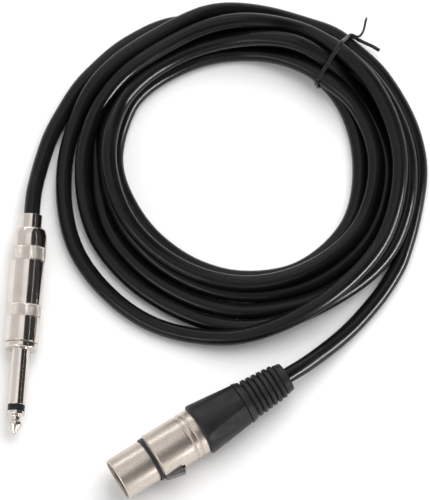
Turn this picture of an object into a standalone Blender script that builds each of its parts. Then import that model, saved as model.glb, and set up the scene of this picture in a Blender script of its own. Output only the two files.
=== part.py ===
"""A coiled audio cable: an XLR socket on one end, a 6.35 mm jack plug on the other, held by a twist tie.

Metres, +Z up. The origin is on the surface that the cable lies on, under the middle of its outline,
and +Y is the long way of the outline. Sizes below are in millimetres, and every helper turns them
into metres.

The jack and the XLR socket are each modelled along the Z axis of an empty of their own, from the
front end (0) to the end that the cable leaves. Each empty then lays its connector on the surface.
"""

import math

import bmesh
import bpy
from mathutils import Matrix, Vector

MM = 0.001
GAP = 0.3  # clearance between neighbouring pieces
ROUND_STEPS = 24  # sides of an outer turned piece
INNER_STEPS = 16  # sides of a small or hidden turned piece
PIN_STEPS = 12  # sides of the thinnest pieces
WIRE_RESOLUTION = 2  # of a thin tube's round section
MERGE = 0.00001  # metres
SHARP_ANGLE = math.radians(40)

CABLE_R = 2.9
CORE_R = 0.7
SHIELD_R = 0.8
LEAD_STRAIGHT = 2.0  # a lead's straight run out of its connector
LEAD_SPACING = 4.4 * CABLE_R

# Jack plug: stations from the tip, and radii.
JACK_TIP = (-72.6, -68.5)
JACK_AZIMUTH = math.radians(85.8)
JACK_PIN_R = 3.175
JACK_TIP_LENGTH = 8.4
JACK_FLANGE = 31.6
JACK_BARREL_FRONT = 34.7
JACK_THREAD_END = 41.0
JACK_SHOULDER = 73.6
JACK_NECK = 76.3
JACK_END = 81.5
JACK_BARREL_R = 6.15
JACK_NECK_R = 3.95
JACK_ROD_R = 1.0
JACK_JACKET_END = 62.0
JACK_WASHER = (42.3, 43.0)
TERMINAL_PLATE = (43.3, 43.8)
TERMINAL_END = 50.0
LUG_PLATE = (41.3, 41.8)
LUG_STRIP = (3.3, 3.8)  # inner and outer face of the ground lug's strip
LUG_JAWS = (64.0, 69.0)
LUG_JAW_THICKNESS = 0.6
TUBE_WALL = (4.8, 5.15)  # inner and outer radius of the insulating tube
TUBE_ENDS = (43.5, 72.5)

# XLR socket: stations from the front, and radii.
XLR_FRONT = (-35.3, -85.7)
XLR_AZIMUTH = math.radians(32.2)
XLR_NOSE_R = 8.0
XLR_BODY_R = 8.95
XLR_BORE_R = 7.2
XLR_BODY_FRONT = 15.15
XLR_BODY_END = 33.9
XLR_NUT_FRONT = 34.2
XLR_NUT_END = 52.3
XLR_NUT_R = 9.8
XLR_END = 71.5
XLR_JACKET_END = 33.5
INSERT_FRONT = 0.9
INSERT_END = 21.0
CLAMP_SLIT = 0.5  # half of its width
CONTACT_CIRCLE_R = 3.8
CONTACT_R = 1.3
CONTACT_END = 25.5
CONTACT_ANGLES = {1: 75, 2: 285, 3: 180}  # degrees from the latch, about the socket's axis

# Latch: the pivot's station and distance from the axis, and half of its width.
PIVOT = (16.35, 7.65)
PIVOT_R = 0.4
PIVOT_HALF_LENGTH = 4.3
LATCH_EYE_R = 1.1
LATCH_HALF_WIDTH = 2.8
LATCH_SLOT = (15.0, 23.4)
SPRING_HALF_WIDTH = 1.5

# Boot: its ribs, from the one nearest the nut.
BOOT_RIBS = 6
BOOT_FIRST_RIB = 55.6
BOOT_PITCH = 2.15
BOOT_CREST_R = 7.3
BOOT_TAPER = 0.18  # less radius at each rib
BOOT_GROOVE = 0.8

# Coil: centre, then the envelope of its turns at every 30 degrees, anticlockwise from +X.
COIL_CENTRE = (7.2, 33.5)
COIL_INNER = (42.0, 42.2, 40.8, 38.4, 38.6, 41.8, 41.2, 38.9, 38.6, 40.2, 43.1, 43.9)
COIL_OUTER = (68.9, 65.0, 60.4, 58.8, 60.6, 65.0, 64.6, 69.2, 70.3, 68.3, 65.0, 71.6)
COIL_HEIGHT = (16.0, 16.0, 16.0, 16.0, 15.5, 15.0, 14.5, 12.0, 11.5, 11.5, 13.5, 15.5)
COIL_SECTIONS = 60
# The bundle's section: how far across it, and how high, as parts of its width and height.
COIL_PROFILE = (
    (0.06, 0), (0, 0.1), (0, 0.5), (0.16, 0.88), (0.5, 1), (0.84, 0.88), (1, 0.5), (1, 0.1), (0.94, 0),
)

# Twist tie: its two sides of the bundle, the lowest and highest of its loop, its own radius, its tails,
# and the part of a half turn that stays open between the loop's two ends.
TIE_INSIDE = (37.0, 62.5)
TIE_OUTSIDE = (48.4, 80.2)
TIE_HEIGHT = (0.7, 16.3)
TIE_R = 0.6
TIE_UPPER_TAIL = ((55.2, 86.4, 12.5), (54.2, 83.6, 12.2), (52.6, 82.2, 11.8), (50.6, 81.6, 11.6))
TIE_LOWER_TAIL = ((51.4, 80.2, 4.8), (54.2, 78.4, 5.6), (57.0, 76.6, 6.6), (59.6, 75.0, 7.6))
TIE_OPENING = 0.1
TIE_LOOP_POINTS = 26
TIE_SQUARENESS = 0.75  # power that fills the loop's corners out
TIE_SPACING = 2.4

# Cable leads: points of the centreline between a connector's mouth and the coil.
JACK_LEAD_ROUTE = (
    (-65.9, 21.5, 5.0),
    (-64.6, 28.0, 3.6),
    (-62.6, 35.5, 2.95),
    (-60.0, 43.0, 2.95),
    (-56.3, 50.4, 2.95),
    (-51.7, 58.0, 2.95),
)
XLR_LEAD_ROUTE = (
    (31.6, -43.3, 8.4),
    (39.2, -37.1, 5.6),
    (46.8, -30.2, 3.5),
    (54.1, -22.3, 2.95),
    (60.2, -14.5, 2.95),
    (64.8, -6.9, 2.95),
    (67.9, 0.9, 2.95),
)


def clear_scene():
    for obj in list(bpy.data.objects):
        bpy.data.objects.remove(obj, do_unlink=True)


def new_collection(name):
    collection = bpy.data.collections.new(name)
    bpy.context.scene.collection.children.link(collection)
    return collection


def new_material(name, colour, roughness, metallic=0.0):
    made = bpy.data.materials.new(name)
    made.use_nodes = True
    shader = made.node_tree.nodes["Principled BSDF"]
    shader.inputs["Base Color"].default_value = (*colour, 1.0)
    shader.inputs["Roughness"].default_value = roughness
    shader.inputs["Metallic"].default_value = metallic
    return made


def add(name, data, collection, parent=None, finish=None):
    """Puts data into the scene as an object, under its parent's frame."""
    obj = bpy.data.objects.new(name, data)
    collection.objects.link(obj)
    obj.parent = parent
    if finish:
        data.materials.append(finish)
    if collection is cutters:
        obj.hide_render = True
        obj.display_type = "WIRE"
    return obj


def shade_round(mesh):
    """Smooth shading, with the real corners kept sharp."""
    mesh.shade_smooth()
    mesh.set_sharp_from_angle(angle=SHARP_ANGLE)


def turned(name, profile, collection, parent, finish=None, steps=ROUND_STEPS):
    """A piece turned about Z. The profile of (radius, station) runs down the outer side; it is a closed
    loop unless both its ends are on the axis."""
    mesh = bpy.data.meshes.new(name)
    points = [(radius * MM, 0, station * MM) for radius, station in profile]
    edges = [(i, i + 1) for i in range(len(points) - 1)]
    if profile[0][0] > 0:
        edges.append((len(points) - 1, 0))
    mesh.from_pydata(points, edges, [])
    obj = add(name, mesh, collection, parent, finish)
    screw = obj.modifiers.new("Turn", "SCREW")
    screw.steps = screw.render_steps = steps
    screw.use_merge_vertices = True
    screw.merge_threshold = MERGE
    return obj


def sleeved(name, radii, ends, collection, parent, finish=None):
    """A plain round sleeve or washer between two radii and two stations."""
    (inner, outer), (start, end) = radii, ends
    profile = [(outer, end), (outer, start), (inner, start), (inner, end)]
    return turned(name, profile, collection, parent, finish, INNER_STEPS)


def box(name, low, high, collection, parent, finish=None):
    low, high = Vector(low) * MM, Vector(high) * MM
    mesh = bpy.data.meshes.new(name)
    cage = bmesh.new()
    bmesh.ops.create_cube(cage, size=1.0)
    bmesh.ops.scale(cage, vec=high - low, verts=cage.verts)
    bmesh.ops.translate(cage, vec=(high + low) / 2, verts=cage.verts)
    cage.to_mesh(mesh)
    cage.free()
    return add(name, mesh, collection, parent, finish)


def rod(name, radius, start, end, collection, parent, finish=None, sides=INNER_STEPS):
    """A round rod between two points."""
    start, end = Vector(start) * MM, Vector(end) * MM
    mesh = bpy.data.meshes.new(name)
    cage = bmesh.new()
    bmesh.ops.create_cone(
        cage,
        cap_ends=True,
        segments=sides,
        radius1=radius * MM,
        radius2=radius * MM,
        depth=(end - start).length,
    )
    turn = (end - start).to_track_quat("Z", "Y").to_matrix().to_4x4()
    bmesh.ops.transform(cage, matrix=Matrix.Translation((start + end) / 2) @ turn, verts=cage.verts)
    cage.to_mesh(mesh)
    cage.free()
    shade_round(mesh)
    return add(name, mesh, collection, parent, finish)


def combine(obj, operation, *others):
    for other in others:
        step = obj.modifiers.new(other.name, "BOOLEAN")
        step.operation = operation
        step.solver = "EXACT"
        step.object = other
    return obj


def through(points, spacing):
    """Points at about equal spacing along a smooth curve through the given ones."""
    ends = [2 * points[0] - points[1], *points, 2 * points[-1] - points[-2]]
    fine = []
    for a, b, c, d in zip(ends, ends[1:], ends[2:], ends[3:]):
        before, span, after = ((q - p).length ** 0.5 for p, q in ((a, b), (b, c), (c, d)))
        leave = (b - a) / before - (c - a) / (before + span) + (c - b) / span
        arrive = (c - b) / span - (d - b) / (span + after) + (d - c) / after
        leave, arrive = leave * span, arrive * span
        for i in range(12):
            t = i / 12
            fine.append(
                b * (2 * t**3 - 3 * t**2 + 1)
                + leave * (t**3 - 2 * t**2 + t)
                + c * (3 * t**2 - 2 * t**3)
                + arrive * (t**3 - t**2)
            )
    fine.append(points[-1])
    total = sum((q - p).length for p, q in zip(fine, fine[1:]))
    count = max(2, round(total / spacing))
    found, travelled = [fine[0]], 0.0
    for p, q in zip(fine, fine[1:]):
        step = (q - p).length
        while len(found) < count and travelled + step >= total * len(found) / count:
            found.append(p.lerp(q, (total * len(found) / count - travelled) / step))
        travelled += step
    return [*found[:count], fine[-1]]


def tube(name, points, radius, collection, parent, finish=None, resolution=3):
    """A round tube along points, as a curve with filled caps."""
    curve = bpy.data.curves.new(name, "CURVE")
    curve.dimensions = "3D"
    curve.bevel_depth = radius * MM
    curve.bevel_resolution = resolution
    curve.use_fill_caps = True
    spline = curve.splines.new("POLY")
    spline.points.add(len(points) - 1)
    for place, point in zip(spline.points, points):
        place.co = (*(point * MM), 1.0)
    return add(name, curve, collection, parent, finish)


def as_mesh(obj, collection):
    """The curve object's evaluated shape as a mesh object, which a Boolean can use."""
    graph = bpy.context.evaluated_depsgraph_get()
    mesh = bpy.data.meshes.new_from_object(obj.evaluated_get(graph))
    weld = bmesh.new()
    weld.from_mesh(mesh)
    bmesh.ops.remove_doubles(weld, verts=weld.verts, dist=MERGE)
    bmesh.ops.recalc_face_normals(weld, faces=weld.faces)
    weld.to_mesh(mesh)
    weld.free()
    name, place = obj.name, obj.matrix_world.copy()
    bpy.data.objects.remove(obj, do_unlink=True)
    made = add(name, mesh, collection)
    made.matrix_world = place
    return made


def laid_down(name, place, azimuth, height):
    """An empty whose Z axis lies level along azimuth, with its Y axis up."""
    empty = bpy.data.objects.new(name, None)
    parts.objects.link(empty)
    empty.location = (place[0] * MM, place[1] * MM, height * MM)
    empty.rotation_euler = (math.pi / 2, 0, azimuth + math.pi / 2)
    return empty


def station(place, azimuth, height, distance):
    """The point at a distance along a connector's axis, in the object's frame, in millimetres."""
    x, y = place
    return Vector((x + distance * math.cos(azimuth), y + distance * math.sin(azimuth), height))


def jack_plug(frame):
    """The plug's pin, its insulators and terminals, and the screw-on barrel."""
    tip = [
        (0, 44.9), (1.6, 44.9), (1.6, 44.1), (JACK_ROD_R, 44.1), (JACK_ROD_R, JACK_TIP_LENGTH),
        (JACK_PIN_R, JACK_TIP_LENGTH), (JACK_PIN_R, 7.6), (2.0, 6.8), (2.0, 5.7), (2.55, 4.7),
        (2.7, 4.0), (2.5, 3.2), (0.8, 0.45), (0, 0),
    ]
    turned("jack_tip_rod", tip, parts, frame, nickel)
    bore = JACK_ROD_R + GAP
    insulator = [(1.9, 42.0), (1.9, 11.2), (3.1, 11.2), (3.1, 8.7), (bore, 8.7), (bore, 42.0)]
    turned("jack_tip_insulator", insulator, parts, frame, black_plastic, INNER_STEPS)
    sleeve = [
        (4.9, JACK_THREAD_END), (4.9, 34.4), (JACK_BARREL_R, 34.4), (JACK_BARREL_R, JACK_FLANGE),
        (JACK_PIN_R, JACK_FLANGE), (JACK_PIN_R, 11.5), (2.2, 11.5), (2.2, JACK_THREAD_END),
    ]
    turned("jack_sleeve", sleeve, parts, frame, nickel)
    sleeved("jack_rear_washer", (bore, 2.9), JACK_WASHER, parts, frame, fibre)

    terminal = sleeved("jack_tip_terminal", (bore, 2.6), TERMINAL_PLATE, parts, frame, brass)
    tab = box("terminal_tab", (-2.6, -1.0, TERMINAL_PLATE[0]), (-2.1, 1.0, TERMINAL_END), cutters, frame)
    combine(terminal, "UNION", tab)

    inner, outer = LUG_STRIP
    low, high = LUG_JAWS
    grip = CABLE_R + GAP
    lug = sleeved("jack_ground_lug", (2.2, 4.4), LUG_PLATE, parts, frame, brass)
    strip = box("lug_strip", (inner, -1.5, LUG_PLATE[0]), (outer, 1.5, high), cutters, frame)
    jaws = sleeved("lug_jaws", (grip, grip + LUG_JAW_THICKNESS), LUG_JAWS, cutters, frame)
    mouth_cut = box("jaw_mouth", (-5.0, -1.6, low - 1), (0.0, 1.6, high + 1), cutters, frame)
    combine(jaws, "DIFFERENCE", mouth_cut)
    combine(lug, "UNION", strip, jaws)

    sleeved("jack_insulating_tube", TUBE_WALL, TUBE_ENDS, parts, frame, clear_plastic)
    mouth = CABLE_R + GAP
    barrel = [
        (JACK_NECK_R, JACK_END), (JACK_NECK_R, JACK_NECK), (5.0, JACK_NECK), (5.5, 75.6), (5.95, 74.6),
        (JACK_BARREL_R, JACK_SHOULDER), (JACK_BARREL_R, JACK_BARREL_FRONT), (5.2, JACK_BARREL_FRONT),
        (5.2, 42.0), (5.45, 42.3), (5.45, 73.2), (mouth, 74.8), (mouth, JACK_END),
    ]
    turned("jack_barrel", barrel, parts, frame, nickel)

    end = JACK_JACKET_END - GAP
    core = ((0, 0, end), (-0.3, 0, 57.5), (-1.0, 0, 53.5), (-1.1, 0, 50.0), (-1.1, 0, 46.5))
    core = [Vector(p) for p in core]
    tube("jack_core_wire", core, CORE_R, parts, frame, red_plastic, WIRE_RESOLUTION)
    tail = [Vector(p) for p in ((1.9, 0, end), (2.2, 0, 58.0), (2.2, 0, 54.0), (2.2, 0, 50.0))]
    tube("jack_shield_tail", tail, SHIELD_R, parts, frame, copper, WIRE_RESOLUTION)


def contact_places():
    """Each contact's number and its place across the socket. The latch is on the -X side."""
    for number, angle in CONTACT_ANGLES.items():
        turn = math.pi + math.radians(angle)
        yield number, CONTACT_CIRCLE_R * math.cos(turn), CONTACT_CIRCLE_R * math.sin(turn)


def xlr_shell(frame):
    """The die-cast shell: nose, seat of the coding ring, body with two beads, and rear thread."""
    profile = [
        (7.9, 40.0), (7.9, XLR_BODY_END), (8.8, XLR_BODY_END), (8.8, 31.6), (8.5, 31.4), (8.5, 30.9),
        (8.8, 30.7), (8.82, 29.4), (8.52, 29.2), (8.52, 28.7), (8.82, 28.5), (XLR_BODY_R, 15.6),
        (8.75, XLR_BODY_FRONT), (7.7, XLR_BODY_FRONT), (7.7, 13.15), (XLR_NOSE_R, 13.15),
        (XLR_NOSE_R, 0.35), (7.75, 0), (XLR_BORE_R, 0), (XLR_BORE_R, 40.0),
    ]
    shell = turned("xlr_shell", profile, parts, frame, satin_nickel)
    station_mm, out = PIVOT
    start, end = LATCH_SLOT
    slot = box("latch_slot", (-12.0, -3.1, start), (-6.0, 3.1, end), cutters, frame)
    seat = rod("pin_seat", PIVOT_R + GAP, (-out, -6.0, station_mm), (-out, 6.0, station_mm), cutters, frame)
    combine(shell, "DIFFERENCE", slot, seat)


def xlr_latch(frame):
    """The release latch: a sheet-metal tab on a pin, its rear end standing clear of the body."""
    station_mm, out = PIVOT
    outline = [
        (15.25, out), (15.25, 9.45), (15.35, 9.75), (15.6, 9.92), (21.75, 11.35), (22.1, 11.35),
        (22.25, 11.1), (22.25, 9.5), (21.65, 9.5), (21.5, 10.5), (17.45, 9.45), (17.45, out),
    ]
    # The round underside of the eye joins the outline's two ends.
    outline += [
        (station_mm + LATCH_EYE_R * math.cos(turn), out - LATCH_EYE_R * math.sin(turn))
        for turn in (math.pi * i / 8 for i in range(1, 8))
    ]
    hole = PIVOT_R + 0.25
    eye_hole = [
        (station_mm + hole * math.cos(turn), out + hole * math.sin(turn))
        for turn in (2 * math.pi * i / INNER_STEPS for i in range(INNER_STEPS))
    ]
    flat_piece("xlr_latch", (outline, eye_hole), LATCH_HALF_WIDTH, frame, steel)
    start, end = ((-out, side * PIVOT_HALF_LENGTH, station_mm) for side in (-1, 1))
    rod("xlr_latch_pin", PIVOT_R, start, end, parts, frame, steel, PIN_STEPS)

    leaf = [
        (18.0, 6.45), (19.6, 6.5), (20.4, 7.4), (20.9, 9.6), (20.5, 9.75), (19.9, 7.8), (19.4, 7.0),
        (18.0, 6.95),
    ]
    flat_piece("xlr_latch_spring", (leaf,), SPRING_HALF_WIDTH, frame, steel)


def flat_piece(name, outlines, half_width, frame, finish):
    """A flat shape of constant width, drawn as (station, distance from the axis) on the latch's side."""
    curve = bpy.data.curves.new(name, "CURVE")
    curve.dimensions = "2D"
    curve.fill_mode = "BOTH"
    curve.extrude = half_width * MM
    for outline in outlines:
        spline = curve.splines.new("POLY")
        spline.points.add(len(outline) - 1)
        spline.use_cyclic_u = True
        for place, (along, out) in zip(spline.points, outline):
            place.co = (along * MM, out * MM, 0, 1)
    obj = add(name, curve, parts, frame, finish)
    obj.matrix_local = Matrix(((0, -1, 0, 0), (0, 0, -1, 0), (1, 0, 0, 0), (0, 0, 0, 1)))
    return obj


def xlr_socket(frame):
    """The insert with its contacts, the cable clamp, the back nut and the boot."""
    ring = [(8.5, 14.85), (8.5, 13.45), (8.0, 13.45), (8.0, 14.85)]
    turned("xlr_coding_ring", ring, parts, frame, black_rubber)

    insert_r = XLR_BORE_R - GAP
    plug = [(0, INSERT_END), (insert_r, INSERT_END), (insert_r, INSERT_FRONT), (0, INSERT_FRONT)]
    insert = turned("xlr_insert", plug, parts, frame, black_plastic)
    keyway = box("insert_keyway", (-8.0, -3.3, 0.0), (-5.9, 3.3, INSERT_END + 1), cutters, frame)
    combine(insert, "DIFFERENCE", keyway)
    for number, x, y in contact_places():
        start, end = (x, y, 0), (x, y, INSERT_END + 1)
        hole = rod(f"contact_hole_{number}", CONTACT_R + GAP, start, end, cutters, frame)
        combine(insert, "DIFFERENCE", hole)
        profile = [
            (0, 22.6), (0.9, 22.6), (0.9, CONTACT_END), (CONTACT_R, CONTACT_END), (CONTACT_R, 1.4),
            (0.95, 1.4), (0.95, 12.0), (0, 12.0),
        ]
        contact = turned(f"xlr_contact_{number}", profile, parts, frame, gold, PIN_STEPS)
        contact.location = (x * MM, y * MM, 0)

    bore = CABLE_R + GAP
    clamp = [(5.2, 50.0), (6.4, 44.0), (6.4, 40.3), (6.8, 39.8), (6.8, 36.0), (bore, 36.0), (bore, 50.0)]
    chuck = turned("xlr_cable_clamp", clamp, parts, frame, grey_plastic, INNER_STEPS)
    slit = box("clamp_slit", (0, -CLAMP_SLIT, 35.0), (8.0, CLAMP_SLIT, 51.0), cutters, frame)
    combine(chuck, "DIFFERENCE", slit)

    nut = [
        (8.2, XLR_NUT_END), (XLR_NUT_R, 35.2), (9.65, 34.5), (9.3, XLR_NUT_FRONT), (8.2, XLR_NUT_FRONT),
        (8.2, 40.6), (7.0, 40.8), (7.0, 45.0), (5.6, 50.6), (4.4, 51.0), (4.4, XLR_NUT_END),
    ]
    turned("xlr_back_nut", nut, parts, frame, black_plastic)
    boot(frame)

    end = XLR_JACKET_END - GAP
    places = {number: (x, y) for number, x, y in contact_places()}
    wires = {"xlr_core_wire": (2, CORE_R, red_plastic), "xlr_shield_tail": (1, SHIELD_R, copper)}
    for name, (number, radius, finish) in wires.items():
        x, y = places[number]
        route = [(0.5 * x, 0.5 * y, end), (0.7 * x, 0.7 * y, 30.5), (x, y, 28.0), (x, y, CONTACT_END + GAP)]
        tube(name, [Vector(p) for p in route], radius, parts, frame, finish, WIRE_RESOLUTION)


def boot(frame):
    """The ribbed rubber boot: a front ring, ribs that narrow towards the cable, and an end collar."""
    outline = [(5.35, XLR_END), (5.85, 68.7), (5.3, 68.5)]
    for i in reversed(range(BOOT_RIBS)):
        crest = BOOT_CREST_R - BOOT_TAPER * i
        front = BOOT_FIRST_RIB + BOOT_PITCH * i
        back = front + BOOT_PITCH
        root = crest - BOOT_GROOVE
        outline += [(root, back - 0.1), (crest, back - 0.5), (crest, front + 0.5), (root, front + 0.1)]
    outline += [(6.5, 55.1), (7.35, 55.0), (8.1, 52.6), (4.1, 52.6), (4.1, 50.4)]
    bore = CABLE_R + GAP
    outline += [(bore, 50.4), (bore, XLR_END)]
    turned("xlr_boot", outline, parts, frame, black_rubber)


def around(values, degrees):
    """A value of a closed row at a bearing, on a smooth curve through the row."""
    count = len(values)
    place = degrees / 360 * count
    i, t = math.floor(place), place - math.floor(place)
    a, b, c, d = (values[(i + k) % count] for k in (-1, 0, 1, 2))
    return b + 0.5 * t * (c - a + t * (2 * a - 5 * b + 4 * c - d + t * (3 * (b - c) + d - a)))


def coil_solid():
    """The bundle of turns as one ring, flat below and crowned above."""
    cage = bmesh.new()
    loops = []
    for i in range(COIL_SECTIONS):
        degrees = 360 * i / COIL_SECTIONS
        inner, outer, height = (around(row, degrees) for row in (COIL_INNER, COIL_OUTER, COIL_HEIGHT))
        way = Vector((math.cos(math.radians(degrees)), math.sin(math.radians(degrees)), 0))
        loop = []
        for across, up in COIL_PROFILE:
            point = Vector((*COIL_CENTRE, height * up)) + way * (inner + (outer - inner) * across)
            loop.append(cage.verts.new(point * MM))
        loops.append(loop)
    count = len(COIL_PROFILE)
    for here, there in zip(loops, loops[1:] + loops[:1]):
        for k in range(count):
            cage.faces.new((here[k], here[(k + 1) % count], there[(k + 1) % count], there[k]))
    bmesh.ops.recalc_face_normals(cage, faces=cage.faces)
    mesh = bpy.data.meshes.new("cable_coil")
    cage.to_mesh(mesh)
    cage.free()
    shade_round(mesh)
    return add("cable_coil", mesh, parts, None, black_cable)


def lead(name, inside, mouth, route, coil):
    """A stretch of cable from inside its connector to the coil, which it meets end to end."""
    straight = mouth + (mouth - inside).normalized() * LEAD_STRAIGHT
    points = [inside, mouth, *through([straight, *(Vector(p) for p in route)], LEAD_SPACING)]
    tube(name, points, CABLE_R, parts, None, black_cable)
    end, before = points[-1], points[-2]
    overrun = end + (end - before).normalized() * GAP
    seat = tube(name + "_seat", [*points[2:], overrun], CABLE_R + GAP, cutters, None)
    combine(coil, "DIFFERENCE", as_mesh(seat, cutters))


def twist_tie(coil):
    """A plastic-covered wire round the bundle, its ends brought together outside and bent away."""
    inside, outside = Vector(TIE_INSIDE), Vector(TIE_OUTSIDE)
    middle, half = (inside + outside) / 2, (outside - inside) / 2
    low, high = TIE_HEIGHT
    centre_z, half_z = (low + high) / 2, (high - low) / 2
    loop = []
    for i in range(TIE_LOOP_POINTS + 1):
        turn = math.pi * (TIE_OPENING + (2 - 2 * TIE_OPENING) * i / TIE_LOOP_POINTS)
        across, up = (
            math.copysign(abs(part) ** TIE_SQUARENESS, part) for part in (math.cos(turn), math.sin(turn))
        )
        loop.append(Vector((*(middle + half * across), centre_z + half_z * up)))
    upper, lower = ([Vector(p) for p in tail] for tail in (TIE_UPPER_TAIL, TIE_LOWER_TAIL))
    points = through([*upper, *loop, *lower], TIE_SPACING)
    tube("twist_tie", points, TIE_R, parts, None, tie_plastic, WIRE_RESOLUTION)
    seat = tube("tie_seat", points, TIE_R + GAP, cutters, None, resolution=WIRE_RESOLUTION)
    combine(coil, "DIFFERENCE", as_mesh(seat, cutters))


clear_scene()
parts = new_collection("xlr_cable_coil")
cutters = new_collection("cutters")

nickel = new_material("polished_nickel", (0.62, 0.58, 0.54), 0.18, 1.0)
satin_nickel = new_material("satin_nickel", (0.56, 0.53, 0.49), 0.34, 1.0)
steel = new_material("spring_steel", (0.5, 0.49, 0.47), 0.3, 1.0)
brass = new_material("tinned_brass", (0.7, 0.62, 0.45), 0.35, 1.0)
gold = new_material("gold_plate", (0.85, 0.65, 0.3), 0.25, 1.0)
copper = new_material("bare_copper", (0.72, 0.4, 0.25), 0.4, 1.0)
black_plastic = new_material("black_plastic", (0.018, 0.018, 0.019), 0.42)
black_rubber = new_material("black_rubber", (0.014, 0.014, 0.015), 0.5)
black_cable = new_material("black_cable_jacket", (0.012, 0.012, 0.014), 0.3)
tie_plastic = new_material("tie_plastic", (0.015, 0.015, 0.016), 0.35)
grey_plastic = new_material("grey_plastic", (0.25, 0.25, 0.26), 0.5)
clear_plastic = new_material("clear_plastic", (0.7, 0.7, 0.68), 0.2)
red_plastic = new_material("red_core", (0.5, 0.03, 0.02), 0.45)
fibre = new_material("pressed_fibre", (0.3, 0.12, 0.06), 0.8)

jack_frame = laid_down("jack_frame", JACK_TIP, JACK_AZIMUTH, JACK_BARREL_R)
xlr_frame = laid_down("xlr_frame", XLR_FRONT, XLR_AZIMUTH, XLR_NUT_R)
jack_plug(jack_frame)
xlr_shell(xlr_frame)
xlr_socket(xlr_frame)
xlr_latch(xlr_frame)

coil = coil_solid()
jack_axis = (JACK_TIP, JACK_AZIMUTH, JACK_BARREL_R)
xlr_axis = (XLR_FRONT, XLR_AZIMUTH, XLR_NUT_R)
jack_ends = (station(*jack_axis, JACK_JACKET_END), station(*jack_axis, JACK_END))
xlr_ends = (station(*xlr_axis, XLR_JACKET_END), station(*xlr_axis, XLR_END))
lead("cable_jack_lead", *jack_ends, JACK_LEAD_ROUTE, coil)
lead("cable_xlr_lead", *xlr_ends, XLR_LEAD_ROUTE, coil)
twist_tie(coil)
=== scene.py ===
"""The looks of a coiled audio cable: an XLR socket on one end, a 6.35 mm jack plug on the other, and a tie.

Sizes are in millimetres, and MM turns them into metres. The jack and the XLR socket are each modelled along
the Z axis of a frame of their own, from the front end (0) to the end that the cable leaves, with Y up.
"""

import math

import bmesh
import bpy
import numpy as np
from mathutils import Matrix, Vector


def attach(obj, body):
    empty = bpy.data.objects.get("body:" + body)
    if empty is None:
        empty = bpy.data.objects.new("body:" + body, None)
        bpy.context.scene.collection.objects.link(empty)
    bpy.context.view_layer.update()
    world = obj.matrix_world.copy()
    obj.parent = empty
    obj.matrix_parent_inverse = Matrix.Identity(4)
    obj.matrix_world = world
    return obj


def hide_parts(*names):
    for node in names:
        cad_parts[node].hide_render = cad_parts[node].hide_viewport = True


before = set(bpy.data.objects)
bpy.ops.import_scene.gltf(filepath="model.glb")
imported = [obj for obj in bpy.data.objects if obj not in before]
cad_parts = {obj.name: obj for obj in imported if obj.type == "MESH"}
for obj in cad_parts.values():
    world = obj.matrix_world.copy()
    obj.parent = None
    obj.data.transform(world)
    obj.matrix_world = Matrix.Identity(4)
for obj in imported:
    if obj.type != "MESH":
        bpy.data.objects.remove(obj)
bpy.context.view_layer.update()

MM = 0.001
WELD = 1e-7  # metres
CABLE_R = 2.9
CABLE_D = 2 * CABLE_R
POINT_SPACING = 2.0  # between the points of the cable's centre line

# Each connector's place: its front end in plan, its azimuth and its axis's height. The cable's centre line
# ends inside the connector, at three stations on its axis.
JACK_AXIS = ((-72.6, -68.5), math.radians(85.8), 6.15)
JACK_CABLE_STATIONS = (62.0, 72.0, 81.5)
XLR_AXIS = ((-35.3, -85.7), math.radians(32.2), 9.8)
XLR_CABLE_STATIONS = (71.5, 61.0, 50.0)

# The cable's coil. Its six turns run clockwise, and a row of radii is one turn, at every 30 degrees from
# the first bearing. The layers are heights of a strand's centre, in layers above the surface.
COIL_CENTRE = (7.2, 33.5)
LAYER = 5.0
FIRST_BEARING = 30
BEARING_STEP = 30
TURN_RADII = (
    (44.8, 44.9, 46.9, 46.0, 43.2, 41.5, 41.8, 44.1, 44.7, 41.5, 41.3, 42.4),
    (47.0, 50.5, 50.8, 48.3, 46.2, 44.9, 45.6, 46.1, 46.1, 43.6, 43.8, 47.3),
    (50.4, 54.7, 55.4, 52.6, 49.0, 46.9, 46.9, 46.9, 49.8, 47.3, 46.7, 48.8),
    (55.8, 60.4, 61.2, 58.6, 55.3, 52.9, 51.7, 50.8, 55.2, 51.6, 49.6, 51.8),
    (57.6, 62.3, 64.9, 62.0, 61.5, 58.3, 57.6, 55.3, 52.0, 48.7, 49.7, 53.2),
    (55.8, 59.1, 61.4, 62.4, 65.6, 67.5, 66.5, 61.9, 57.8, 53.0, 55.2, 57.4),
)
TURN_LAYERS = (
    (0, 0, 0, 0, 0, 0, 0, 0, 0, 0, 0, 0.9),
    (1.1, 0.8, 0.8, 1, 1, 1.3, 1.7, 2.1, 1.2, 1, 1.2, 1.9),
    (0, 0, 0, 0, 0, 0.3, 0.6, 1, 0.1, 0, 0.5, 0.8),
    (0, 0, 0, 0, 0, 0, 0, 0, 0, 0.5, 1.1, 0),
    (1.0, 1.1, 0.8, 0.8, 0, 0, 0, 0.7, 1, 1.7, 2.2, 1.3),
    (2.2, 2.1, 1.8, 1.9, 0.8, 0, 0, 0, 1, 1.7, 1.3, 0.1),
)
# The cable between the coil and each connector: bearings and radii about the coil, then free points.
JACK_RUN_IN = ((150, 62.3), (120, 57.5), (105, 54.2), (90, 50.9), (75, 46.9), (60, 45.6))
XLR_RUN_OUT = ((45, 59.5, 0), (30, 61.9, 0), (0, 66.1, 0), (-30, 69.3, 0))
JACK_LEAD_ROUTE = (
    (-65.9, 21.5, 5.0),
    (-64.6, 28.0, 3.6),
    (-62.6, 35.5, 2.95),
    (-60.0, 43.0, 2.95),
    (-56.3, 50.4, 2.95),
)
XLR_LEAD_ROUTE = (
    (64.8, -6.9, 2.95),
    (60.2, -14.5, 2.95),
    (54.1, -22.3, 2.95),
    (46.8, -30.2, 3.5),
    (39.2, -37.1, 5.6),
    (31.6, -43.3, 8.4),
)

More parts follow.
